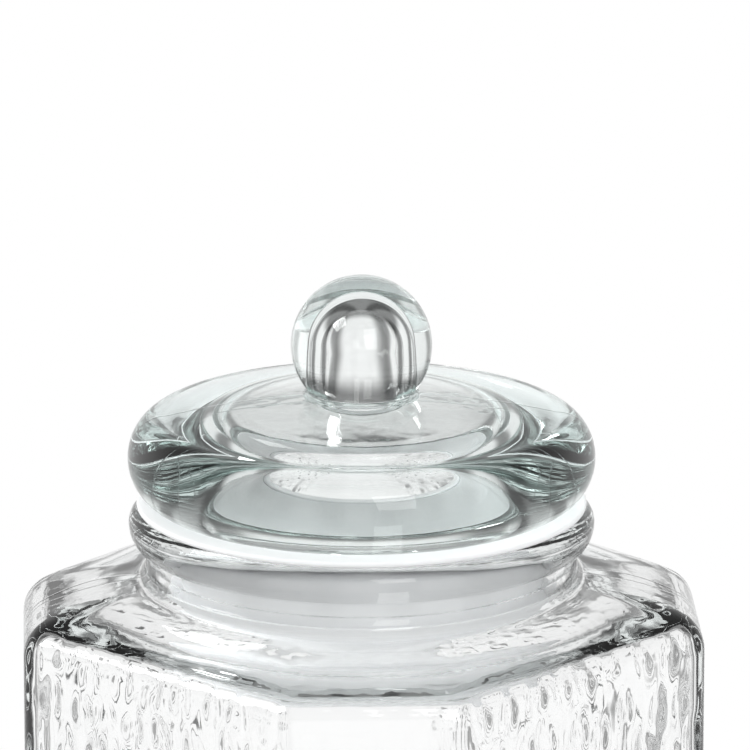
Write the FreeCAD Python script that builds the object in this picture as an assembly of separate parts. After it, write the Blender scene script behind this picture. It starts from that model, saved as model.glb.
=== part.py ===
"""Glass storage jar with a pressed glass stopper lid, closed.

Three pieces, each written to its own STEP file:
    jar     one blown glass piece: chamfered-square body, domed shoulder, round neck and bead
    lid     one pressed glass piece: hollow ball knob, dome, thick rounded edge, plug skirt
    gasket  one silicone sleeve on the skirt: top flange, two bent fins, foot flange and lip

Millimetres, +Z up. The origin is the centre of the base, on the surface the jar stands on.
The flat body faces look along X and Y, and the chamfers along the diagonals.
"""
import FreeCAD, Part
import math
import os

# ---- jar: body ----
FACE_WIDTH = 190.0        # across two opposite faces
CHAMFER_WIDTH = 212.0     # across two opposite chamfers
CORNER_RADIUS = 10.0      # upright edges between faces and chamfers
HEEL_RADIUS = 8.0         # rounding from the sides to the base
EDGE_RADIUS = 13.0        # rounding from the sides to the shoulder
WALL = 4.5
BASE_THICKNESS = 8.0
INNER_CORNER_RADIUS = 8.0
INNER_HEEL_RADIUS = 10.0
INNER_EDGE_RADIUS = 9.0
STAND_WIDTH = 15.0        # the flat ring the jar stands on, at the middle of a face
PUSH_UP_HEIGHT = 3.0      # the shallow hollow under the base

# ---- jar: shoulder, neck and bead ----
RIM_HEIGHT = 225.0        # base to the top of the rim
SHOULDER_DROP = 28.0      # top of the rim down to the plane of the shoulder's edge
NECK_FOOT_DROP = 22.0     # top of the rim down to the foot of the neck
BORE_RADIUS = 60.0
BORE_FLARE = 9.0          # rounding from the bore out under the shoulder
NECK_WALL = 7.5
NECK_FILLET = 3.0
MOUTH_STEP = 1.1          # the mouth is this much wider than the bore all round
MOUTH_DEPTH = 6.3
MOUTH_ROUNDING = 1.0
RIM_FLAT = 4.6            # width of the flat top of the rim
BEAD_PROJECTION = 5.3     # widest line of the bead beyond the neck
BEAD_HEIGHT = 11.5
BEAD_CREST_DROP = 4.8     # top of the rim down to the widest line of the bead
BEAD_FILLET = 1.2

# ---- gasket ----
SEAT_GAP = 0.1            # between silicone and glass faces that bear on each other
FLANGE_INSET = 2.5        # edge of the flange inside the widest line of the bead
FLANGE_THICKNESS = 2.0
SLEEVE_GAP = 3.4          # between the bore and the top of the sleeve
SLEEVE_WALL = 4.5         # at the top of the sleeve
SLEEVE_TAPER = 2.7        # the sleeve's outside is this much narrower at its foot, all round
SLEEVE_FILLET = 2.0
FIN_DROPS = (18.8, 30.3)  # top of the flange down to the root of each fin
FIN_BITES = (3.3, 2.3)    # how far each fin, left free, reaches beyond the bore
FIN_THICKNESS = 1.3
FOOT_INSET = 1.4          # edge of the foot flange inside the bore
FOOT_THICKNESS = 1.6
LIP_WIDTH = 0.7           # how far the lip reaches inside the skirt
LIP_THICKNESS = 4.3

# ---- lid ----
LID_OVERHANG = 0.2        # edge of the lid beyond the widest line of the bead
EDGE_WIDTH = 12.0         # half the width of the thick rounded edge
DOME_HEIGHT = 34.3        # seat face to the apex of the dome's outer face
DOME_CURVATURE = 270.0    # radius of the dome's outer face
DOME_GLASS = 9.5          # thickness of the dome
SKIRT_WALL = 4.0
SKIRT_LENGTH = 38.0
SKIRT_END_ROUNDING = 1.6
SKIRT_ROOT_ROUNDING = 10.0
BALL_RADIUS = 22.0
BALL_CENTRE_HEIGHT = 49.5  # seat face to the centre of the ball
BALL_FILLET = 1.5
KNOB_BORE_RADIUS = 11.0
KNOB_BORE_END_GLASS = 11.0  # glass over the end of the knob's hollow
KNOB_BORE_FILLET = 3.0

# ---- worked out ----
FACE, CHAMFER = FACE_WIDTH / 2, CHAMFER_WIDTH / 2
PUSH_UP_RADIUS = FACE - HEEL_RADIUS - STAND_WIDTH
RIM_FACE = RIM_HEIGHT
EDGE_PLANE = RIM_FACE - SHOULDER_DROP
NECK_FOOT = RIM_FACE - NECK_FOOT_DROP
NECK_RADIUS = BORE_RADIUS + NECK_WALL
MOUTH_RADIUS = BORE_RADIUS + MOUTH_STEP
BEAD_RADIUS = NECK_RADIUS + BEAD_PROJECTION
LID_SEAT = RIM_FACE + FLANGE_THICKNESS + 2 * SEAT_GAP
LID_RADIUS = BEAD_RADIUS + LID_OVERHANG
FLANGE_TOP = LID_SEAT - SEAT_GAP
FLANGE_RADIUS = BEAD_RADIUS - FLANGE_INSET
SLEEVE_RADIUS = BORE_RADIUS - SLEEVE_GAP
SLEEVE_BORE_RADIUS = SLEEVE_RADIUS - SLEEVE_WALL
SKIRT_RADIUS = SLEEVE_BORE_RADIUS - SEAT_GAP
SKIRT_BORE_RADIUS = SKIRT_RADIUS - SKIRT_WALL
SKIRT_FOOT = LID_SEAT - SKIRT_LENGTH
LIP_TOP = SKIRT_FOOT - SEAT_GAP
LIP_RADIUS = SKIRT_BORE_RADIUS - LIP_WIDTH
GASKET_FOOT = LIP_TOP - LIP_THICKNESS
FOOT_RADIUS = BORE_RADIUS - FOOT_INSET
FIN_TIP_RADIUS = BORE_RADIUS - SEAT_GAP
AXIS = FreeCAD.Vector(0, 0, 1)
ORIGIN = FreeCAD.Vector(0, 0, 0)
RIGHT_ANGLE = math.pi / 2


def along(radius, height):
    """A point of a profile in the plane that is turned round the axis."""
    return FreeCAD.Vector(radius, 0, height)


def on_circle(centre, radius, degrees):
    """The profile point at this angle on a circle, counted from outwards towards up."""
    turn = math.radians(degrees)
    return centre + along(radius * math.cos(turn), radius * math.sin(turn))


def arc(centre, radius, start, end):
    """A circular stretch of a profile between two angles in degrees."""
    points = [on_circle(centre, radius, angle) for angle in (start, (start + end) / 2, end)]
    return Part.Arc(*points).toShape()


def quarter_ellipse(centre, across, up, start, end):
    """A quarter of an ellipse with upright axes, between two angles in degrees."""
    turns = [math.radians(start + (end - start) * step / 6) for step in range(7)]
    points = [centre + along(across * math.cos(t), up * math.sin(t)) for t in turns]
    curve = Part.BSplineCurve()
    sense = math.copysign(1, end - start)
    ends = [along(-across * math.sin(t), up * math.cos(t)) * sense for t in (turns[0], turns[-1])]
    curve.interpolate(Points=points, InitialTangent=ends[0], FinalTangent=ends[1])
    return curve.toShape()


def end_point(item, last):
    """The first or last point of a profile item, which is a point or an edge."""
    return item if isinstance(item, FreeCAD.Vector) else item.valueAt(item.ParameterRange[last])


def turned(items):
    """A solid turned from a profile: points and edges in order, joined by straight lines."""
    edges = []
    for here, following in zip(items, items[1:] + items[:1]):
        if not isinstance(here, FreeCAD.Vector):
            edges.append(here)
        start, end = end_point(here, 1), end_point(following, 0)
        if start.distanceToPoint(end) > 1e-6:
            edges.append(Part.makeLine(start, end))
    profile = Part.Face(Part.Wire(edges))
    return profile.revolve(ORIGIN, AXIS, 360)


def corner_points(face, chamfer, radius):
    """The eight rounded corners of a chamfered square, each as (start, middle, end)."""
    across = face - radius
    up = (chamfer - radius) * math.sqrt(2) - across
    lean = math.degrees(math.atan2(up, across))
    corners = []
    for step in range(8):
        quarter, second = divmod(step, 2)
        azimuth = math.radians(90 * quarter + (90 - lean if second else lean))
        centre = FreeCAD.Vector(math.cos(azimuth), math.sin(azimuth), 0) * math.hypot(across, up)
        normals = [math.radians(45 * step + part) for part in (0, 22.5, 45)]
        corners.append([centre + FreeCAD.Vector(math.cos(n), math.sin(n), 0) * radius for n in normals])
    return corners


def outline(face, chamfer, corner, height, roundness=0.0, circle=0.0):
    """The chamfered square as a level wire of 16 edges, drawn towards a circle by roundness."""
    corners = corner_points(face, chamfer, corner)
    stretches = []
    for here, following in zip(corners, corners[1:] + corners[:1]):
        middle = (here[2] + following[0]) / 2
        stretches += [(here, False), ([here[2], middle, following[0]], True)]
    edges = []
    for points, straight in stretches:
        pulled = [p + (p * (circle / p.Length) - p) * roundness + AXIS * height for p in points]
        if straight and roundness == 0:
            edges.append(Part.makeLine(pulled[0], pulled[2]))
        else:
            edges.append(Part.Arc(*pulled).toShape())
    return Part.Wire(edges)


def rolled_edge(face, chamfer, corner, height, radius, way, last_angle=90.0, steps=4):
    """Wires that roll the sides inwards over an edge, upwards (way 1) or downwards (way -1)."""
    wires = []
    for step in range(steps + 1):
        turn = math.radians(last_angle * step / steps)
        inset = radius * (1 - math.cos(turn))
        level = height + way * radius * math.sin(turn)
        wires.append(outline(face - inset, chamfer - inset, corner, level))
    return wires


def vessel(face, chamfer, corner, floor, heel, edge_plane, edge, top, top_radius):
    """The body with a rolled heel, straight sides, a rolled edge and a domed shoulder.

    The shoulder rises as a parabola from the edge and is level where it meets the circle.
    """
    side_foot, side_top = floor + heel, edge_plane - edge
    sides = Part.Face(outline(face, chamfer, corner, side_foot)).extrude(AXIS * (side_top - side_foot))
    foot = Part.makeLoft(rolled_edge(face, chamfer, corner, side_foot, heel, -1), True, False)

    run = (face + chamfer) / 2 - edge - top_radius
    slope = math.degrees(math.atan2(2 * (top - edge_plane), run))
    wires = rolled_edge(face, chamfer, corner, side_top, edge, 1, 90 - slope)
    inset = edge * (1 - math.sin(math.radians(slope)))
    start = side_top + edge * math.cos(math.radians(slope))
    for part in (0.25, 0.5, 0.75, 1.0):
        level = start + (top - start) * (1 - (1 - part) ** 2)
        wires.append(outline(face - inset, chamfer - inset, corner, level, part, top_radius))
    shoulder = Part.makeLoft(wires, True, False)
    return foot.fuse([sides, shoulder])


def base_hollow(height):
    """The lens between a level plane at this height and the crown of the base over it."""
    radius = (PUSH_UP_RADIUS ** 2 + PUSH_UP_HEIGHT ** 2) / (2 * PUSH_UP_HEIGHT)
    half_angle = math.degrees(math.asin(PUSH_UP_RADIUS / radius))
    crown = arc(along(0, height + PUSH_UP_HEIGHT - radius), radius, 90 - half_angle, 90)
    return turned([along(0, height), crown])


def neck_and_bead():
    """The neck as a solid, with its fillet and the rounded bead at the rim."""
    bead_foot = RIM_FACE - BEAD_HEIGHT
    crest = along(BEAD_RADIUS, RIM_FACE - BEAD_CREST_DROP)
    flat_end = MOUTH_RADIUS + MOUTH_ROUNDING + RIM_FLAT
    top_centre = along(flat_end, crest.z)
    root_radius = NECK_RADIUS + BEAD_FILLET
    return turned([
        along(0, NECK_FOOT),
        along(NECK_RADIUS + NECK_FILLET, NECK_FOOT),
        arc(along(NECK_RADIUS + NECK_FILLET, NECK_FOOT + NECK_FILLET), NECK_FILLET, 270, 180),
        arc(along(root_radius, bead_foot - BEAD_FILLET), BEAD_FILLET, 180, 90),
        quarter_ellipse(along(root_radius, crest.z), crest.x - root_radius, crest.z - bead_foot, 270, 360),
        quarter_ellipse(top_centre, crest.x - flat_end, RIM_FACE - crest.z, 0, 90),
        along(0, RIM_FACE),
    ])


def bore():
    """The free space of the neck: the flare under the shoulder, the bore, the step and the mouth."""
    flare_foot = NECK_FOOT - WALL
    flare_centre = along(BORE_RADIUS + BORE_FLARE, flare_foot + BORE_FLARE)
    mouth_foot = RIM_FACE - MOUTH_DEPTH
    over = RIM_FACE + MOUTH_ROUNDING
    return turned([
        along(0, flare_foot),
        arc(flare_centre, BORE_FLARE, 270, 180),
        along(BORE_RADIUS, mouth_foot - MOUTH_STEP),
        along(MOUTH_RADIUS, mouth_foot),
        along(MOUTH_RADIUS, RIM_FACE - MOUTH_ROUNDING),
        arc(along(MOUTH_RADIUS + MOUTH_ROUNDING, RIM_FACE - MOUTH_ROUNDING), MOUTH_ROUNDING, 180, 90),
        along(MOUTH_RADIUS + MOUTH_ROUNDING, over),
        along(0, over),
    ])


def jar():
    """The glass jar: the outer skin less the space inside it and the hollow under its base."""
    body = vessel(FACE, CHAMFER, CORNER_RADIUS, 0, HEEL_RADIUS, EDGE_PLANE, EDGE_RADIUS,
                  NECK_FOOT, NECK_RADIUS + NECK_FILLET)
    space = vessel(FACE - WALL, CHAMFER - WALL, INNER_CORNER_RADIUS, BASE_THICKNESS, INNER_HEEL_RADIUS,
                   EDGE_PLANE - WALL, INNER_EDGE_RADIUS, NECK_FOOT - WALL, BORE_RADIUS + BORE_FLARE)
    space = space.cut(base_hollow(BASE_THICKNESS)).fuse(bore())
    return body.fuse(neck_and_bead()).cut(base_hollow(0)).cut(space)


def dome_height(radius):
    """Height of the dome's outer face over the lid's seat at this radius."""
    return DOME_HEIGHT - DOME_CURVATURE + math.sqrt(DOME_CURVATURE ** 2 - radius ** 2)


def dome_stretch(start, end, depth=0.0):
    """The dome's outer face between two radii, or the face under it at a depth of glass."""
    points = [along(r, LID_SEAT + dome_height(r) - depth) for r in (start, (start + end) / 2, end)]
    return Part.Arc(*points).toShape()


def knob_profile():
    """The ball, from the axis down, and the fillet that runs out onto the dome."""
    centre = along(0, LID_SEAT + BALL_CENTRE_HEIGHT)
    foot = LID_SEAT + dome_height(BALL_RADIUS)
    drop = centre.z - foot - BALL_FILLET
    reach = math.sqrt((BALL_RADIUS + BALL_FILLET) ** 2 - drop ** 2)
    lean = math.degrees(math.atan2(drop, reach))
    fillet_centre = along(reach, foot + BALL_FILLET)
    return [arc(centre, BALL_RADIUS, 90, -lean), arc(fillet_centre, BALL_FILLET, 180 - lean, 270)], reach


def lid():
    """The glass lid, turned from one profile: knob, dome, thick edge, seat, skirt and hollow."""
    knob, dome_start = knob_profile()
    edge_centre = LID_RADIUS - EDGE_WIDTH
    edge_half = dome_height(edge_centre) / 2
    centre = along(edge_centre, LID_SEAT + edge_half)
    rounding = SKIRT_END_ROUNDING
    hollow_end = LID_SEAT + BALL_CENTRE_HEIGHT + BALL_RADIUS - KNOB_BORE_END_GLASS
    under_root = SKIRT_BORE_RADIUS - SKIRT_ROOT_ROUNDING
    root_level = LID_SEAT + dome_height(under_root) - DOME_GLASS - SKIRT_ROOT_ROUNDING
    bore_root = KNOB_BORE_RADIUS + KNOB_BORE_FILLET
    bore_level = LID_SEAT + dome_height(bore_root) - DOME_GLASS + KNOB_BORE_FILLET
    return turned(knob + [
        dome_stretch(dome_start, edge_centre),
        quarter_ellipse(centre, EDGE_WIDTH, edge_half, 90, 0),
        quarter_ellipse(centre, EDGE_WIDTH, edge_half, 0, -90),
        along(SKIRT_RADIUS, LID_SEAT),
        arc(along(SKIRT_RADIUS - rounding, SKIRT_FOOT + rounding), rounding, 0, -90),
        arc(along(SKIRT_BORE_RADIUS + rounding, SKIRT_FOOT + rounding), rounding, 270, 180),
        arc(along(under_root, root_level), SKIRT_ROOT_ROUNDING, 0, 90),
        dome_stretch(under_root, bore_root, DOME_GLASS),
        arc(along(bore_root, bore_level), KNOB_BORE_FILLET, 270, 180),
        arc(along(0, hollow_end - KNOB_BORE_RADIUS), KNOB_BORE_RADIUS, 0, 90),
    ])


def sleeve_radius(height):
    """Outer radius of the sleeve at this height, tapering from the flange's top to the foot."""
    return SLEEVE_RADIUS - SLEEVE_TAPER * (FLANGE_TOP - height) / (FLANGE_TOP - GASKET_FOOT)


def fin(drop, bite):
    """One fin as the neck holds it: its free length bent up until its tip lies in the bore."""
    tip = FIN_THICKNESS / 2
    height = FLANGE_TOP - drop
    root = along(sleeve_radius(height) - tip, height)
    length = BORE_RADIUS + bite - root.x - tip
    reach = FIN_TIP_RADIUS - root.x - tip
    lift = math.degrees(math.acos(reach / length))
    end = on_circle(root, length, lift)
    return turned([
        on_circle(root, tip, lift - 90),
        arc(end, tip, lift - 90, lift + 90),
        on_circle(root, tip, lift + 90),
    ])


def gasket():
    """The silicone sleeve with its top flange, fins, foot flange and the lip under the skirt."""
    flange_edge = FLANGE_THICKNESS / 2
    foot_edge = FOOT_THICKNESS / 2
    flange_foot = FLANGE_TOP - FLANGE_THICKNESS
    foot_top = GASKET_FOOT + FOOT_THICKNESS
    under_flange = sleeve_radius(flange_foot) + SLEEVE_FILLET
    sleeve = turned([
        along(SLEEVE_BORE_RADIUS, FLANGE_TOP),
        arc(along(FLANGE_RADIUS - flange_edge, FLANGE_TOP - flange_edge), flange_edge, 90, -90),
        arc(along(under_flange, flange_foot - SLEEVE_FILLET), SLEEVE_FILLET, 90, 180),
        along(sleeve_radius(foot_top), foot_top),
        arc(along(FOOT_RADIUS - foot_edge, GASKET_FOOT + foot_edge), foot_edge, 90, -90),
        along(LIP_RADIUS, GASKET_FOOT),
        along(LIP_RADIUS, LIP_TOP),
        along(SLEEVE_BORE_RADIUS, LIP_TOP),
    ])
    return sleeve.fuse([fin(*sizes) for sizes in zip(FIN_DROPS, FIN_BITES)])


os.makedirs("parts", exist_ok=True)
for name, make in (("jar", jar), ("lid", lid), ("gasket", gasket)):
    solid = make().removeSplitter()
    piece = solid.Solids[0] if len(solid.Solids) == 1 else solid
    piece.exportStep("parts/" + name + ".step")
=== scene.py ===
"""A clear glass storage jar with its knobbed glass lid and silicone gasket, closed.

Metres, +Z up, origin at the centre of the base on the floor. The flat faces look along X and Y.
Each piece is a closed skin of rings laid one after another along its profile, worked out with numpy.
"""
import math

import bmesh
import bpy
import numpy as np
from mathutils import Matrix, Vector


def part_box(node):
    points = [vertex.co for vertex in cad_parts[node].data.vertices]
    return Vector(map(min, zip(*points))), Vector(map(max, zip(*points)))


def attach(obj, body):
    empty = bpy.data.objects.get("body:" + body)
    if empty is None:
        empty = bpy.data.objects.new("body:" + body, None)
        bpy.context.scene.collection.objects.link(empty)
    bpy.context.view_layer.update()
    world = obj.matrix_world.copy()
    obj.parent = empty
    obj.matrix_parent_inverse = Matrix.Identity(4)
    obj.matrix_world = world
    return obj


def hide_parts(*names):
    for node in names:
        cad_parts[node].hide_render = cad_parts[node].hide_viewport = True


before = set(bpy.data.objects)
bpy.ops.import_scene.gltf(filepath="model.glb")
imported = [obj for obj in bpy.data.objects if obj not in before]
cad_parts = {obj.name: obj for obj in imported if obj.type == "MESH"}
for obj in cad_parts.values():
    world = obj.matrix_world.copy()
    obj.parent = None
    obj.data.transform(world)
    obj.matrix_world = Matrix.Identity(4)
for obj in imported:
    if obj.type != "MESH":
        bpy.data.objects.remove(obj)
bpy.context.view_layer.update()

MM = 0.001

# ---- the jar's sizes, in millimetres ----
FACE, CHAMFER = 95.0, 106.0              # axis to a face, axis to a chamfer
CORNER, HEEL, EDGE = 10.0, 8.0, 13.0      # roundings: upright edges, foot, shoulder edge
WALL, BASE_GLASS, SHOULDER_GLASS = 4.5, 8.0, 6.0
INNER_CORNER, INNER_HEEL, INNER_EDGE = 5.5, 10.0, 6.0
FACE_HALF_LENGTH = (CHAMFER - CORNER) * math.sqrt(2) - (FACE - CORNER)    # of its flat part
STAND_WIDTH, PUSH_UP = 15.0, 3.0
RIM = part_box("jar")[1][2] / MM
EDGE_PLANE = RIM - 28.0
NECK_FOOT = RIM - 22.0
BORE, BORE_FLARE = 60.0, 9.0
NECK, NECK_FILLET = BORE + 7.5, 3.0
MOUTH, MOUTH_DEPTH, MOUTH_ROUNDING = BORE + 1.1, 6.3, 1.0
RIM_FLAT = 4.6
BEAD, BEAD_FOOT, BEAD_CREST, BEAD_FILLET = NECK + 5.3, RIM - 11.5, RIM - 4.8, 1.2

# ---- the gasket's and the lid's sizes, in millimetres ----
SEAT_GAP = 0.1
FLANGE_THICKNESS = 2.0
SEAT = RIM + FLANGE_THICKNESS + 2 * SEAT_GAP
FLANGE_TOP = SEAT - SEAT_GAP
FLANGE = BEAD - 2.5
SLEEVE, SLEEVE_WALL, SLEEVE_TAPER, SLEEVE_FILLET = BORE - 3.4, 4.5, 2.7, 2.0
SLEEVE_BORE = SLEEVE - SLEEVE_WALL
SKIRT, SKIRT_WALL, SKIRT_LENGTH = SLEEVE_BORE - SEAT_GAP, 4.0, 38.0
SKIRT_BORE = SKIRT - SKIRT_WALL
SKIRT_FOOT = SEAT - SKIRT_LENGTH
LIP, LIP_TOP = SKIRT_BORE - 0.7, SKIRT_FOOT - SEAT_GAP
GASKET_FOOT = LIP_TOP - 4.3
FOOT, FOOT_THICKNESS = BORE - 1.4, 1.6
FINS = ((18.8, 3.3), (30.3, 2.3))        # drop of the root, free reach beyond the bore
FIN_THICKNESS = 1.3
FIN_TOP_START, FIN_FOOT_START = 0.4, 0.1  # where a fin's faces begin, outside the sleeve
LID, LID_EDGE = BEAD + 0.2, 12.0
DOME_HEIGHT, DOME_CURVATURE, DOME_GLASS = 34.3, 270.0, 9.5
BALL, BALL_CENTRE, BALL_FILLET = 22.0, SEAT + 49.5, 1.5
KNOB_BORE, KNOB_BORE_END, KNOB_BORE_FILLET = 11.0, BALL_CENTRE + 11.0, 3.0
SKIRT_ROOT, SKIRT_END = 10.0, 1.6

# ---- the hammered relief of the faces, in millimetres ----
PITCH_ALONG, PITCH_UP = 12.5, 15.0       # from one bowl to the next
STRAY_ALONG, STRAY_UP = 0.36, 0.5        # spread of the bowls' middles, as shares of the pitch
TILT_SPREAD = 0.8                        # in radians
BOWL_HALF_WIDTH, WIDTH_SPREAD = 3.4, 1.5
BOWL_HALF_HEIGHT, HEIGHT_SPREAD = 5.6, 2.4
BOWL_TAPER = 0.35                        # narrower at its top and wider at its foot by this share
BOWL_POWER = 1.3
DIMPLE_DEPTH, LEAST_DEPTH = 0.75, 0.6    # the deepest bowl, and the shallowest as a share of it
CORNER_REACH = 1.0                       # how far back round the upright corners the relief runs
BORDER_REACH, BORDER_FADE = 4.5, 3.0     # past a face's flat part, at its ends
HAMMERED_UP, TOP_FADE = 10.0, 5.0        # by arc length past the start of the rolled edge
HAMMERED_FROM, FOOT_FADE = 12.0, 8.0     # from the floor

# ---- the soft folds of the inner wall ----
FOLD_DEPTH, FOLD_FADE = 0.25, 15.0       # in millimetres; they fade out below the edge
FOLDS = ((43, 0.021, 1.0, 0), (29, -0.034, 0.8, 1), (71, 0.05, 0.5, 2))  # count, lean, size, start

# ---- how finely the skins are divided ----
ARC_COLUMNS, CHAMFER_COLUMNS, FACE_COLUMNS = 3, 12, 66
TURNED_COLUMNS = 256
HEEL_ROWS, EDGE_ROWS, SHOULDER_ROWS, CROWN_ROWS = 8, 10, 11, 5
SIDE_STEPS, INNER_SIDE_STEPS = 80, 16

# ---- materials; from here on lengths are in metres ----
GLASS_IOR, SILICONE_IOR = 1.52, 1.41
JAR_TINT, JAR_DENSITY, JAR_RIPPLE = (0.74, 0.80, 0.79), 8, 0.00016
LID_TINT, LID_DENSITY, LID_RIPPLE = (0.70, 0.79, 0.77), 12, 0.00006
SHADOW_TINT = (0.91, 0.925, 0.925)
RIPPLE_SCALE, RIPPLE_STRETCH = 90, 0.35
SEAM_CREST, SEAM_WIDTH = 0.0001, 0.0009

# ---- studio: each level goes from low to high as (low, high, level at low, level at high) ----
DIFFUSE_LEVEL = 0.80
PANELS = 8.0
PANEL_GAPS = (-0.98, 0.35, 0.25, 1.0)
THROUGH_BELOW = (-0.75, -0.5, 0.75, 1.0)
THROUGH_OVERHEAD = (0.07, 0.36, 1.0, 0.24)
AROUND_OVERHEAD = (0.1, 0.7, 0.9, 0.35)
FLOOR_RADIUS, FLOOR_SIDES = 0.36, 96
FLOOR_FADE = (0.4, 0.98)                 # as shares of its radius
LAMP_TARGET = (0, 0, 0.2)

# ---- camera ----
CAMERA_AZIMUTH, CAMERA_ELEVATION = math.radians(42.8), math.radians(15.5)
CAMERA_DISTANCE, LENS = 2.8, 430.1       # the lens in millimetres
AIM_RIGHT, AIM_UP = 0.0042, 0.0405       # from the middle of the rim


# ---- skins ----
def skin(name, rows, material, node):
    """A closed smooth mesh from rows of points, each row a ring, or one point at a pole.

    Neighbouring rings have as many points as each other, or one has twice as many: then each
    point of the smaller ring meets every second point of the larger. Faces look to the right of
    the way the rows run when the rings turn anticlockwise, which is outwards for a rising wall.
    """
    points = np.concatenate(rows) * MM
    starts = np.concatenate([[0], np.cumsum([len(row) for row in rows])])
    faces = []
    for low, high, low_row, high_row in zip(starts, starts[1:], rows, rows[1:]):
        a, b = len(low_row), len(high_row)
        i = np.arange(min(a, b) if min(a, b) > 1 else max(a, b))
        after = (i + 1) % len(i)
        if a == 1:
            faces.append(np.stack([np.full_like(i, low), high + after, high + i], 1))
        elif b == 1:
            faces.append(np.stack([low + i, low + after, np.full_like(i, high)], 1))
        elif a == b:
            faces.append(np.stack([low + i, low + after, high + after, high + i], 1))
        elif b == 2 * a:
            faces.append(np.stack([low + i, high + 2 * i + 1, high + 2 * i], 1))
            faces.append(np.stack([low + i, low + after, high + 2 * i + 1], 1))
            faces.append(np.stack([low + after, high + 2 * after, high + 2 * i + 1], 1))
        else:
            faces.append(np.stack([high + i, low + 2 * i, low + 2 * i + 1], 1))
            faces.append(np.stack([high + i, low + 2 * i + 1, high + after], 1))
            faces.append(np.stack([high + after, low + 2 * i + 1, low + 2 * after], 1))
    mesh = bpy.data.meshes.new(name)
    mesh.vertices.add(len(points))
    mesh.vertices.foreach_set("co", points.ravel())
    corners = np.concatenate([face.ravel() for face in faces])
    sizes = np.concatenate([np.full(len(face), face.shape[1]) for face in faces])
    mesh.loops.add(len(corners))
    mesh.loops.foreach_set("vertex_index", corners.astype(np.int32))
    mesh.polygons.add(len(sizes))
    loop_starts = np.concatenate([[0], np.cumsum(sizes)[:-1]])
    mesh.polygons.foreach_set("loop_start", loop_starts.astype(np.int32))
    mesh.polygons.foreach_set("use_smooth", np.ones(len(sizes), bool))
    mesh.update(calc_edges=True)
    mesh.set_sharp_from_angle(angle=math.radians(40))
    piece = bpy.data.objects.new(name, mesh)
    bpy.context.scene.collection.objects.link(piece)
    mesh.materials.append(material)
    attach(piece, "root")
    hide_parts(node)
    return piece


# ---- profiles: rows of (radius, height) ----
def arc(radius, height, across, up, start, end, steps):
    """A stretch of an upright ellipse about (radius, height) between two angles in degrees."""
    turn = np.radians(np.linspace(start, end, steps + 1))
    return np.stack([radius + across * np.cos(turn), height + up * np.sin(turn)], 1)


def run(start, end, steps):
    """A straight stretch from one profile point to another, its start and end both given."""
    return np.linspace(start, end, steps + 1)


def joined(*stretches):
    """One profile from stretches in order, each point that repeats the one before it left out."""
    points = np.concatenate([np.atleast_2d(stretch) for stretch in stretches])
    moved = np.linalg.norm(np.diff(points, axis=0), axis=1) > 1e-6
    return points[np.concatenate([[True], moved])]


def turned(profile, columns):
    """Rings turned round the axis from a profile; a profile point on the axis gives a pole."""
    azimuth = np.arange(columns) * (2 * np.pi / columns)
    circle = np.stack([np.cos(azimuth), np.sin(azimuth), np.zeros(columns)], 1)
    rows = []
    for radius, height in profile:
        ring = circle * radius + [0, 0, height]
        rows.append(ring if radius > 1e-6 else ring[:1])
    return rows


# ---- the jar ----
def outline(face, chamfer, corner, fineness):
    """The chamfered square, anticlockwise, as points (columns, 2).

    Each side is its rounded corner, an arc of 45 degrees, then a straight stretch to the next.
    """
    across = face - corner
    up = (chamfer - corner) * math.sqrt(2) - across
    reach, lean = math.hypot(across, up), math.degrees(math.atan2(up, across))
    middles, arcs = [], []
    for side in range(8):
        azimuth = math.radians(90 * (side // 2) + (90 - lean if side % 2 else lean))
        middle = reach * np.array([math.cos(azimuth), math.sin(azimuth)])
        turn = np.radians(45 * side + np.linspace(0, 45, ARC_COLUMNS * fineness + 1))
        middles.append(middle)
        arcs.append(middle + corner * np.stack([np.cos(turn), np.sin(turn)], 1))
    points = []
    for side in range(8):
        columns = fineness * (FACE_COLUMNS if side % 2 else CHAMFER_COLUMNS)
        following = arcs[(side + 1) % 8][0]
        points += [arcs[side][:-1], np.linspace(arcs[side][-1], following, columns + 1)[:-1]]
    return np.concatenate(points)


def ring(face, chamfer, corner, height, roundness=0.0, circle=0.0, fineness=1):
    """A level ring of the body: the chamfered square drawn towards a circle by roundness."""
    flat = outline(face, chamfer, corner, fineness)
    on_circle = flat * (circle / np.linalg.norm(flat, axis=1, keepdims=True))
    flat = flat + (on_circle - flat) * roundness
    return np.column_stack([flat, np.full(len(flat), height)])


def round_ring(radius, height):
    """A level circle with the body's columns."""
    return ring(FACE, CHAMFER, CORNER, height, 1.0, radius)


def vessel_side(face, chamfer, corner, floor, heel, edge_plane, edge, top, top_radius, side_steps,
                fineness=1, level_start=False):
    """Rings of the body from the inside end of its heel up to the circle at the neck's foot.

    The heel and the edge are quarter turns; the shoulder rises as a parabola, level at its end
    or, with level_start, at its start. The side's and the edge's rings have the fineness.
    """
    rows = []
    for turn in np.radians(np.linspace(90, 0, HEEL_ROWS)):
        inset = heel * (1 - math.cos(turn))
        rows.append(ring(face - inset, chamfer - inset, corner, floor + heel - heel * math.sin(turn)))
    for height in np.linspace(floor + heel, edge_plane - edge, side_steps + 1)[1:-1]:
        rows.append(ring(face, chamfer, corner, height, fineness=fineness))
    run_in = (face + chamfer) / 2 - edge - top_radius
    slope = 0 if level_start else math.atan2(2 * (top - edge_plane), run_in)
    for turn in np.linspace(0, math.pi / 2 - slope, EDGE_ROWS):
        inset = edge * (1 - math.cos(turn))
        height = edge_plane - edge + edge * math.sin(turn)
        rows.append(ring(face - inset, chamfer - inset, corner, height, fineness=fineness))
    inset = edge * (1 - math.sin(slope))
    start = edge_plane - edge + edge * math.cos(slope)
    for part in np.linspace(0, 1, SHOULDER_ROWS + 1)[1:]:
        rise = part ** 2 if level_start else 1 - (1 - part) ** 2
        height = start + (top - start) * rise
        rows.append(ring(face - inset, chamfer - inset, corner, height, part, top_radius))
    return rows


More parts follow.
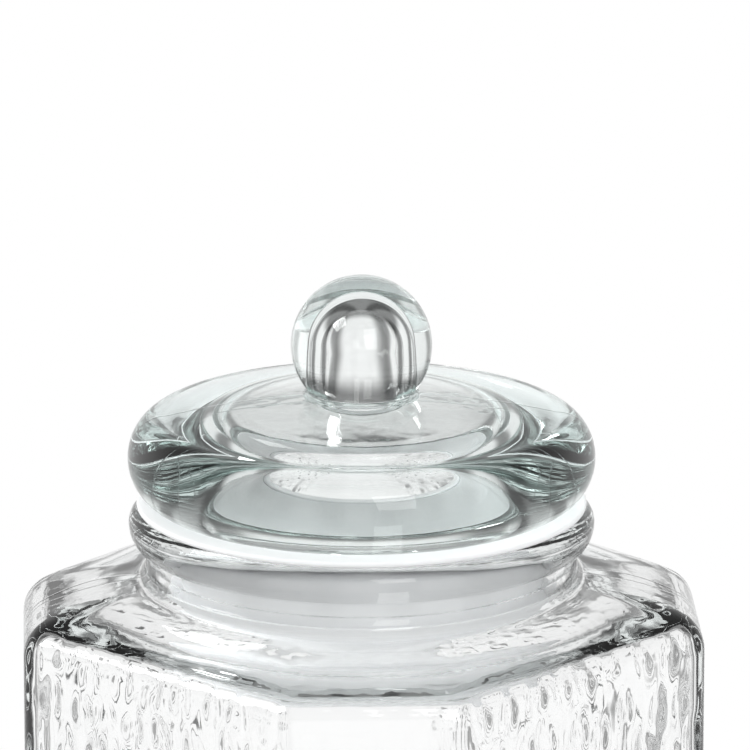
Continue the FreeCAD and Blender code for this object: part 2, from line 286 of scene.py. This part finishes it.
def scatter(i, j, salt):
    """A steady random number from 0 to 1 for each cell of a pattern."""
    value = np.sin(i * 127.1 + j * 311.7 + salt * 74.7) * 43758.5453
    return value - np.floor(value)


def hammering(along, height, face_number):
    """Depth of the hammered relief at a place on a face.

    Leaf-shaped bowls stand in staggered rows, each moved, tilted and sized at random. A bowl's
    depth falls from its middle as (1 - q^4)^BOWL_POWER, where q is the distance from the middle
    over the bowl's reach that way, and the deepest bowl at a place counts.
    """
    depth = np.zeros_like(along)
    row = np.floor(height / PITCH_UP)
    for step_up in (-1, 0, 1):
        j = row + step_up
        shift = 0.5 * (j % 2)
        column = np.floor(along / PITCH_ALONG - shift)
        for step_along in (-1, 0, 1, 2):
            i = column + step_along
            seed = i + 37 * face_number
            middle_along = (i + shift + STRAY_ALONG * (scatter(seed, j, 1) - 0.5)) * PITCH_ALONG
            middle_up = (j + 0.5 + STRAY_UP * (scatter(seed, j, 2) - 0.5)) * PITCH_UP
            tilt = TILT_SPREAD * (scatter(seed, j, 3) - 0.5)
            half_width = BOWL_HALF_WIDTH + WIDTH_SPREAD * scatter(seed, j, 4)
            half_height = BOWL_HALF_HEIGHT + HEIGHT_SPREAD * scatter(seed, j, 5)
            u, v = along - middle_along, height - middle_up
            u, v = u * np.cos(tilt) + v * np.sin(tilt), v * np.cos(tilt) - u * np.sin(tilt)
            narrowing = 1 - BOWL_TAPER * np.clip(v / half_height, -1, 1)
            q_squared = (u / (half_width * narrowing)) ** 2 + (v / half_height) ** 2
            share = LEAST_DEPTH + (1 - LEAST_DEPTH) * scatter(seed, j, 6)
            depth = np.maximum(depth, share * np.clip(1 - q_squared ** 2, 0, 1) ** BOWL_POWER)
    return DIMPLE_DEPTH * depth


def hammered(rows):
    """The side and edge rings with their faces pressed in by the hammering.

    The relief fades at the borders. On the rolled edge it runs on by arc length, pressed in
    square to the surface.
    """
    side = np.stack(rows)
    rolled = np.clip(side[:, :1, 2] - (EDGE_PLANE - EDGE), 0, None)
    turn_up = np.arcsin(np.clip(rolled / EDGE, 0, 1))
    height = np.minimum(side[..., 2], EDGE_PLANE - EDGE) + EDGE * turn_up
    inset = EDGE * (1 - np.cos(turn_up))
    for number in range(4):
        turn = math.radians(90 * number)
        normal = np.array([math.cos(turn), math.sin(turn)])
        tangent = np.array([-normal[1], normal[0]])
        along, out = side[..., :2] @ tangent, side[..., :2] @ normal
        on_face = out > FACE - inset - CORNER_REACH
        border = np.clip((FACE_HALF_LENGTH + BORDER_REACH - np.abs(along)) / BORDER_FADE, 0, 1)
        top = np.clip((EDGE_PLANE - EDGE + HAMMERED_UP - height) / TOP_FADE, 0, 1)
        foot = np.clip((height - HAMMERED_FROM) / FOOT_FADE, 0, 1)
        fade = border * top * foot
        fade = fade * fade * (3 - 2 * fade)
        depth = np.where(on_face, hammering(along, height, number) * fade, 0)
        side[..., :2] -= (depth * np.cos(turn_up))[..., None] * normal
        side[..., 2] -= depth * np.sin(turn_up)
    return list(side)


def wavy(rows):
    """Inner side rings pushed in and out as soft upright folds, a sum of waves round the wall."""
    side = np.stack(rows)
    azimuth, height = np.arctan2(side[..., 1], side[..., 0]), side[..., 2]
    waves = sum(size * np.sin(count * azimuth + lean * height + start)
                for count, lean, size, start in FOLDS)
    calm = np.clip((side[:, :1, 2].max() - height) / FOLD_FADE, 0, 1)
    side[..., :2] *= 1 - FOLD_DEPTH * waves[..., None] * calm[..., None] / FACE
    return list(side)


def base_rows(height, radius, rise):
    """Rings of the crown of the base, from its middle out to its rim, where it meets the flat."""
    sphere = (radius ** 2 + rise ** 2) / (2 * rise)
    rows = [np.array([[0, 0, height + rise]])]
    for part in np.linspace(0, 1, CROWN_ROWS + 1)[1:]:
        r = radius * part
        rows.append(round_ring(r, height + rise - sphere + math.sqrt(sphere ** 2 - r ** 2)))
    return rows


def jar_rows():
    """The jar's skin from the middle of its base, out and up, over the rim and down inside."""
    push_up = FACE - HEEL - STAND_WIDTH
    rows = base_rows(0, push_up, PUSH_UP)
    outer = vessel_side(FACE, CHAMFER, CORNER, 0, HEEL, EDGE_PLANE, EDGE, NECK_FOOT,
                        NECK + NECK_FILLET, SIDE_STEPS, 2)
    fine_end = HEEL_ROWS + SIDE_STEPS - 1 + EDGE_ROWS
    rows += outer[:HEEL_ROWS] + hammered(outer[HEEL_ROWS:fine_end]) + outer[fine_end:]
    root = NECK + BEAD_FILLET
    flat_end = MOUTH + MOUTH_ROUNDING + RIM_FLAT
    neck = joined(
        arc(NECK + NECK_FILLET, NECK_FOOT + NECK_FILLET, NECK_FILLET, NECK_FILLET, 270, 180, 6)[1:],
        arc(root, BEAD_FOOT - BEAD_FILLET, BEAD_FILLET, BEAD_FILLET, 180, 90, 4),
        arc(root, BEAD_CREST, BEAD - root, BEAD_CREST - BEAD_FOOT, 270, 360, 9),
        arc(flat_end, BEAD_CREST, BEAD - flat_end, RIM - BEAD_CREST, 0, 90, 9),
        arc(MOUTH + MOUTH_ROUNDING, RIM - MOUTH_ROUNDING, MOUTH_ROUNDING, MOUTH_ROUNDING, 90, 180, 4),
        [MOUTH, RIM - MOUTH_DEPTH],
        [BORE, RIM - MOUTH_DEPTH - (MOUTH - BORE)],
        run([BORE, RIM - MOUTH_DEPTH - 4], [BORE, NECK_FOOT + 4], 1),
        arc(BORE + BORE_FLARE, NECK_FOOT - WALL + BORE_FLARE, BORE_FLARE, BORE_FLARE, 180, 270, 8),
    )
    rows += [round_ring(radius, height) for radius, height in neck]
    inner = vessel_side(FACE - WALL, CHAMFER - WALL, INNER_CORNER, BASE_GLASS, INNER_HEEL,
                        EDGE_PLANE - SHOULDER_GLASS, INNER_EDGE, NECK_FOOT - WALL, BORE + BORE_FLARE,
                        INNER_SIDE_STEPS, level_start=True)
    side_end = HEEL_ROWS + INNER_SIDE_STEPS - 1
    inner[HEEL_ROWS:side_end] = wavy(inner[HEEL_ROWS:side_end])
    rows += inner[-2::-1]
    rows += base_rows(BASE_GLASS, push_up, PUSH_UP)[::-1]
    return rows


# ---- the lid and the gasket ----
def dome_height(radius):
    """Height of the lid's outer dome at a radius: a sphere whose apex is DOME_HEIGHT over the seat."""
    return SEAT + DOME_HEIGHT - DOME_CURVATURE + np.sqrt(DOME_CURVATURE ** 2 - radius ** 2)


def dome(start, end, depth, steps):
    """A stretch of the dome between two radii, at a depth of glass under its outer face."""
    radius = np.linspace(start, end, steps + 1)
    return np.stack([radius, dome_height(radius) - depth], 1)


def lid_profile():
    """The lid from the top of its ball, down outside, under the skirt and up inside the knob."""
    drop = BALL_CENTRE - dome_height(BALL) - BALL_FILLET
    reach = math.sqrt((BALL + BALL_FILLET) ** 2 - drop ** 2)
    lean = math.degrees(math.atan2(drop, reach))
    edge = LID - LID_EDGE
    half = (dome_height(edge) - SEAT) / 2
    root = SKIRT_BORE - SKIRT_ROOT
    mouth = KNOB_BORE + KNOB_BORE_FILLET
    return joined(
        arc(0, BALL_CENTRE, BALL, BALL, 90, -lean, 40),
        arc(reach, dome_height(BALL) + BALL_FILLET, BALL_FILLET, BALL_FILLET, 180 - lean, 270, 6),
        dome(reach, edge, 0, 14),
        arc(edge, SEAT + half, LID_EDGE, half, 90, -90, 36),
        run([edge, SEAT], [SKIRT + 1, SEAT], 3),
        arc(SKIRT + 1, SEAT - 1, 1, 1, 90, 180, 3),
        run([SKIRT, SEAT - 1], [SKIRT, SKIRT_FOOT + SKIRT_END], 8),
        arc(SKIRT - SKIRT_END, SKIRT_FOOT + SKIRT_END, SKIRT_END, SKIRT_END, 0, -90, 5),
        arc(SKIRT_BORE + SKIRT_END, SKIRT_FOOT + SKIRT_END, SKIRT_END, SKIRT_END, 270, 180, 5),
        arc(root, dome_height(root) - DOME_GLASS - SKIRT_ROOT, SKIRT_ROOT, SKIRT_ROOT, 0, 90, 10),
        dome(root, mouth, DOME_GLASS, 8),
        arc(mouth, dome_height(mouth) - DOME_GLASS + KNOB_BORE_FILLET,
            KNOB_BORE_FILLET, KNOB_BORE_FILLET, 270, 180, 6),
        arc(0, KNOB_BORE_END - KNOB_BORE, KNOB_BORE, KNOB_BORE, 0, 90, 18),
    )


def sleeve_radius(height):
    """Outer radius of the sleeve, which narrows evenly from the flange to the foot."""
    return SLEEVE - SLEEVE_TAPER * (FLANGE_TOP - height) / (FLANGE_TOP - GASKET_FOOT)


def at_radius(start, end, radius):
    """The point with the given radius on the straight line through two profile points."""
    return start + (end - start) * ((radius - start[0]) / (end - start)[0])


def fin_profile(drop, bite):
    """A fin from its upper root round its tip to its lower root: a straight flap tilted up.

    It has its free length, and tilts just so far that its tip stays SEAT_GAP inside the bore.
    """
    tip = FIN_THICKNESS / 2
    height = FLANGE_TOP - drop
    root = sleeve_radius(height) - tip
    length = BORE + bite - root - tip
    lift = math.degrees(math.acos((BORE - SEAT_GAP - root - tip) / length))
    turn = math.radians(lift)
    end = [root + length * math.cos(turn), height + length * math.sin(turn)]
    under = arc(root, height, tip, tip, lift - 90, lift - 90, 0)[0]
    over = arc(root, height, tip, tip, lift + 90, lift + 90, 0)[0]
    nose = arc(*end, tip, tip, lift + 90, lift - 90, 10)
    top_start = at_radius(over, nose[0], sleeve_radius(height) + FIN_TOP_START)
    foot_start = at_radius(under, nose[-1], sleeve_radius(height) + FIN_FOOT_START)
    return joined(top_start, nose, foot_start)


def gasket_profile():
    """The gasket from the inside of its top flange, out and down outside, and up inside."""
    flange_edge, foot_edge = FLANGE_THICKNESS / 2, FOOT_THICKNESS / 2
    flange_foot = FLANGE_TOP - FLANGE_THICKNESS
    foot_top = GASKET_FOOT + FOOT_THICKNESS
    under = sleeve_radius(flange_foot) + SLEEVE_FILLET
    return joined(
        run([SLEEVE_BORE, FLANGE_TOP], [FLANGE - flange_edge, FLANGE_TOP], 4),
        arc(FLANGE - flange_edge, FLANGE_TOP - flange_edge, flange_edge, flange_edge, 90, -90, 8),
        arc(under, flange_foot - SLEEVE_FILLET, SLEEVE_FILLET, SLEEVE_FILLET, 90, 180, 5),
        fin_profile(*FINS[0]),
        fin_profile(*FINS[1]),
        [sleeve_radius(foot_top), foot_top],
        arc(FOOT - foot_edge, GASKET_FOOT + foot_edge, foot_edge, foot_edge, 90, -90, 8),
        arc(LIP + 1, GASKET_FOOT + 1, 1, 1, 270, 180, 4),
        arc(LIP + 0.6, LIP_TOP - 0.6, 0.6, 0.6, 180, 90, 3),
        [SLEEVE_BORE, LIP_TOP],
        run([SLEEVE_BORE, LIP_TOP], [SLEEVE_BORE, FLANGE_TOP], 6)[:-1],
    )


def looped(name, profile, material, node):
    """A ring-shaped skin from a profile that doesn't reach the axis: its last row meets its first."""
    rows = turned(profile, TURNED_COLUMNS)
    weld(skin(name, rows + rows[:1], material, node))


def weld(piece):
    """Merges the points that lie on each other, so that the skin closes."""
    bm = bmesh.new()
    bm.from_mesh(piece.data)
    bmesh.ops.remove_doubles(bm, verts=bm.verts, dist=1e-7)
    bm.to_mesh(piece.data)
    bm.free()


# ---- materials ----
def material(name):
    """An empty material: its node tree and its output node."""
    made = bpy.data.materials.new(name)
    made.use_nodes = True
    tree = made.node_tree
    tree.nodes.clear()
    return made, tree, tree.nodes.new("ShaderNodeOutputMaterial")


def seam(tree, place):
    """The mould seam: a fine ridge on the two sides where x equals y, as a height from 0 to 1."""
    split = tree.nodes.new("ShaderNodeSeparateXYZ")
    tree.links.new(place.outputs["Object"], split.inputs["Vector"])
    aside = math_node(tree, "SUBTRACT", split.outputs["X"], split.outputs["Y"])
    return smooth(tree, math_node(tree, "ABSOLUTE", aside), SEAM_CREST, SEAM_WIDTH, 1.0, 0.0)


def ripple(tree, scale, stretch, distance, seamed=False):
    """A bump from soft noise on Object coordinates, stretched along Z, as a normal."""
    place = tree.nodes.new("ShaderNodeTexCoord")
    mapping = tree.nodes.new("ShaderNodeMapping")
    mapping.inputs["Scale"].default_value = (scale, scale, scale * stretch)
    noise = tree.nodes.new("ShaderNodeTexNoise")
    noise.inputs["Scale"].default_value = 1.0
    noise.inputs["Detail"].default_value = 2.0
    bump = tree.nodes.new("ShaderNodeBump")
    bump.inputs["Distance"].default_value = distance
    bump.inputs["Strength"].default_value = 1.0
    tree.links.new(place.outputs["Object"], mapping.inputs["Vector"])
    tree.links.new(mapping.outputs["Vector"], noise.inputs["Vector"])
    height = noise.outputs["Fac"]
    if seamed:
        height = math_node(tree, "ADD", height, seam(tree, place))
    tree.links.new(height, bump.inputs["Height"])
    return bump.outputs["Normal"]


def clear_glass(name, tint, density, bump_distance):
    """Clear soda-lime glass with a faint ripple and light shadows.

    Its tint deepens with the way through it.
    """
    made, tree, output = material(name)
    glass = tree.nodes.new("ShaderNodeBsdfPrincipled")
    glass.inputs["Base Color"].default_value = (1.0, 1.0, 1.0, 1)
    glass.inputs["Roughness"].default_value = 0.0
    glass.inputs["IOR"].default_value = GLASS_IOR
    glass.inputs["Transmission Weight"].default_value = 1.0
    uneven = ripple(tree, RIPPLE_SCALE, RIPPLE_STRETCH, bump_distance, seamed=True)
    tree.links.new(uneven, glass.inputs["Normal"])
    passing = tree.nodes.new("ShaderNodeBsdfTransparent")
    passing.inputs["Color"].default_value = (*SHADOW_TINT, 1)
    path = tree.nodes.new("ShaderNodeLightPath")
    mix = tree.nodes.new("ShaderNodeMixShader")
    tree.links.new(path.outputs["Is Shadow Ray"], mix.inputs["Fac"])
    tree.links.new(glass.outputs["BSDF"], mix.inputs[1])
    tree.links.new(passing.outputs["BSDF"], mix.inputs[2])
    tree.links.new(mix.outputs["Shader"], output.inputs["Surface"])
    absorbing = tree.nodes.new("ShaderNodeVolumeAbsorption")
    absorbing.inputs["Color"].default_value = (*tint, 1)
    absorbing.inputs["Density"].default_value = density
    tree.links.new(absorbing.outputs["Volume"], output.inputs["Volume"])
    return made


def silicone(name):
    """Translucent white silicone: satin, soft light under its skin, faint mottling."""
    made, tree, output = material(name)
    body = tree.nodes.new("ShaderNodeBsdfPrincipled")
    place = tree.nodes.new("ShaderNodeTexCoord")
    noise = tree.nodes.new("ShaderNodeTexNoise")
    noise.inputs["Scale"].default_value = 60.0
    ramp = tree.nodes.new("ShaderNodeValToRGB")
    ramp.color_ramp.elements[0].color = (0.91, 0.915, 0.93, 1)
    ramp.color_ramp.elements[1].color = (0.95, 0.953, 0.96, 1)
    tree.links.new(place.outputs["Object"], noise.inputs["Vector"])
    tree.links.new(noise.outputs["Fac"], ramp.inputs["Fac"])
    tree.links.new(ramp.outputs["Color"], body.inputs["Base Color"])
    body.inputs["Roughness"].default_value = 0.42
    body.inputs["IOR"].default_value = SILICONE_IOR
    body.inputs["Subsurface Weight"].default_value = 0.3
    body.inputs["Subsurface Radius"].default_value = (1.0, 1.0, 1.0)
    body.inputs["Subsurface Scale"].default_value = 0.002
    tree.links.new(ripple(tree, 400, 1.0, 0.00003), body.inputs["Normal"])
    tree.links.new(body.outputs["BSDF"], output.inputs["Surface"])
    return made


# ---- stage ----
def floor_disc(radius):
    """A pale round floor that takes the jar's shadow and fades to nothing at its edge."""
    angle = np.linspace(0, 2 * np.pi, FLOOR_SIDES + 1)[:-1]
    points = np.column_stack([radius * np.cos(angle), radius * np.sin(angle), np.zeros(FLOOR_SIDES)])
    mesh = bpy.data.meshes.new("floor")
    mesh.from_pydata(points.tolist(), [], [list(range(FLOOR_SIDES))])
    floor = bpy.data.objects.new("floor", mesh)
    bpy.context.scene.collection.objects.link(floor)
    made, tree, output = material("pale_floor")
    matt = tree.nodes.new("ShaderNodeBsdfDiffuse")
    matt.inputs["Color"].default_value = (0.9, 0.9, 0.9, 1)
    nothing = tree.nodes.new("ShaderNodeBsdfTransparent")
    place = tree.nodes.new("ShaderNodeTexCoord")
    length = tree.nodes.new("ShaderNodeVectorMath")
    length.operation = "LENGTH"
    tree.links.new(place.outputs["Object"], length.inputs[0])
    mix = tree.nodes.new("ShaderNodeMixShader")
    fade = smooth(tree, length.outputs["Value"], FLOOR_FADE[0] * radius, FLOOR_FADE[1] * radius)
    tree.links.new(fade, mix.inputs["Fac"])
    tree.links.new(matt.outputs["BSDF"], mix.inputs[1])
    tree.links.new(nothing.outputs["BSDF"], mix.inputs[2])
    tree.links.new(mix.outputs["Shader"], output.inputs["Surface"])
    mesh.materials.append(made)


def math_node(tree, operation, a, b=None):
    """The result of one arithmetic node; a and b are sockets or numbers."""
    node = tree.nodes.new("ShaderNodeMath")
    node.operation = operation
    for socket, value in zip(node.inputs, (a, b)):
        if value is None:
            continue
        if isinstance(value, (int, float)):
            socket.default_value = value
        else:
            tree.links.new(value, socket)
    return node.outputs[0]


def blend(tree, first, second, share):
    """The first value where the share is 0 and the second where it is 1."""
    difference = math_node(tree, "SUBTRACT", second, first)
    return math_node(tree, "ADD", first, math_node(tree, "MULTIPLY", difference, share))


def smooth(tree, value, low, high, start=0.0, end=1.0):
    """A value that goes smoothly from start to end as the given one goes from low to high."""
    node = tree.nodes.new("ShaderNodeMapRange")
    node.interpolation_type = "SMOOTHSTEP"
    tree.links.new(value, node.inputs["Value"])
    for name, number in (("From Min", low), ("From Max", high), ("To Min", start), ("To Max", end)):
        node.inputs[name].default_value = number
    return node.outputs["Result"]


def studio():
    """The studio round the jar, as the world.

    Straight to the eye it is white. Through glass it is a ring of eight bright panels with dark
    gaps between them, so that each side of the jar stands before a panel and its edges bend the
    gaps into view; it is darker overhead and a little darker below. In reflections it is a pale
    room that darkens overhead. What lights matt surfaces, and all that is seen after a matt
    bounce, is one plain level.
    """
    world = bpy.data.worlds.new("studio")
    bpy.context.scene.world = world
    world.use_nodes = True
    tree = world.node_tree
    tree.nodes.clear()
    output = tree.nodes.new("ShaderNodeOutputWorld")
    place = tree.nodes.new("ShaderNodeTexCoord")
    split = tree.nodes.new("ShaderNodeSeparateXYZ")
    tree.links.new(place.outputs["Generated"], split.inputs["Vector"])
    x, y, z = split.outputs
    azimuth = math_node(tree, "ARCTAN2", x, y)
    wave = math_node(tree, "COSINE", math_node(tree, "MULTIPLY", azimuth, PANELS))
    gaps = smooth(tree, wave, *PANEL_GAPS)
    below = smooth(tree, z, *THROUGH_BELOW)
    overhead = smooth(tree, z, *THROUGH_OVERHEAD)
    through = math_node(tree, "MULTIPLY", math_node(tree, "MULTIPLY", gaps, below), overhead)
    around = smooth(tree, z, *AROUND_OVERHEAD)
    path = tree.nodes.new("ShaderNodeLightPath")
    strength = DIFFUSE_LEVEL
    levels = ((around, "Is Glossy Ray"), (through, "Is Transmission Ray"), (1.0, "Is Camera Ray"))
    for seen, kind in levels:
        strength = blend(tree, strength, seen, path.outputs[kind])
    lighting = math_node(tree, "MINIMUM", path.outputs["Diffuse Depth"], 1.0)
    strength = blend(tree, strength, DIFFUSE_LEVEL, lighting)
    background = tree.nodes.new("ShaderNodeBackground")
    background.inputs["Color"].default_value = (1, 1, 1, 1)
    tree.links.new(strength, background.inputs["Strength"])
    tree.links.new(background.outputs["Background"], output.inputs["Surface"])


def softbox(name, place, width, height, power):
    """A rectangular lamp at a place, facing LAMP_TARGET."""
    data = bpy.data.lights.new(name, "AREA")
    data.shape = "RECTANGLE"
    data.size, data.size_y, data.energy = width, height, power
    lamp = bpy.data.objects.new(name, data)
    bpy.context.scene.collection.objects.link(lamp)
    lamp.location = place
    lamp.rotation_euler = (Vector(LAMP_TARGET) - Vector(place)).to_track_quat("-Z", "Y").to_euler()
    return lamp


def camera():
    """A long lens from a little above, looking past the jar's shoulder at a point over its rim."""
    a, e = CAMERA_AZIMUTH, CAMERA_ELEVATION
    back = Vector((math.sin(a) * math.cos(e), -math.cos(a) * math.cos(e), math.sin(e)))
    right = Vector((math.cos(a), math.sin(a), 0))
    up = back.cross(right)
    aim = Vector((0, 0, RIM * MM)) + right * AIM_RIGHT + up * AIM_UP
    data = bpy.data.cameras.new("camera")
    data.lens = LENS
    made = bpy.data.objects.new("camera", data)
    bpy.context.scene.collection.objects.link(made)
    made.location = aim + back * CAMERA_DISTANCE
    made.rotation_euler = (-back).to_track_quat("-Z", "Y").to_euler()
    bpy.context.scene.camera = made


def main():
    """Builds the pieces and the stage."""
    jar_glass = clear_glass("clear_glass", JAR_TINT, JAR_DENSITY, JAR_RIPPLE)
    lid_glass = clear_glass("lid_glass", LID_TINT, LID_DENSITY, LID_RIPPLE)
    skin("jar_body", jar_rows(), jar_glass, "jar")
    skin("lid_with_knob", turned(lid_profile(), TURNED_COLUMNS)[::-1], lid_glass, "lid")
    looped("lid_gasket", gasket_profile()[::-1], silicone("silicone"), "gasket")
    floor_disc(FLOOR_RADIUS)
    studio()
    softbox("key_light", (-0.9, -0.6, 1.3), 0.7, 0.7, 10).visible_glossy = False
    softbox("fill_light", (1.2, -0.7, 0.9), 0.5, 0.9, 4)
    camera()
    scene = bpy.context.scene
    scene.view_settings.view_transform = "Standard"
    scene.cycles.max_bounces = 24
    scene.cycles.transmission_bounces = 24
    scene.cycles.glossy_bounces = 8
    scene.cycles.transparent_max_bounces = 24


main()
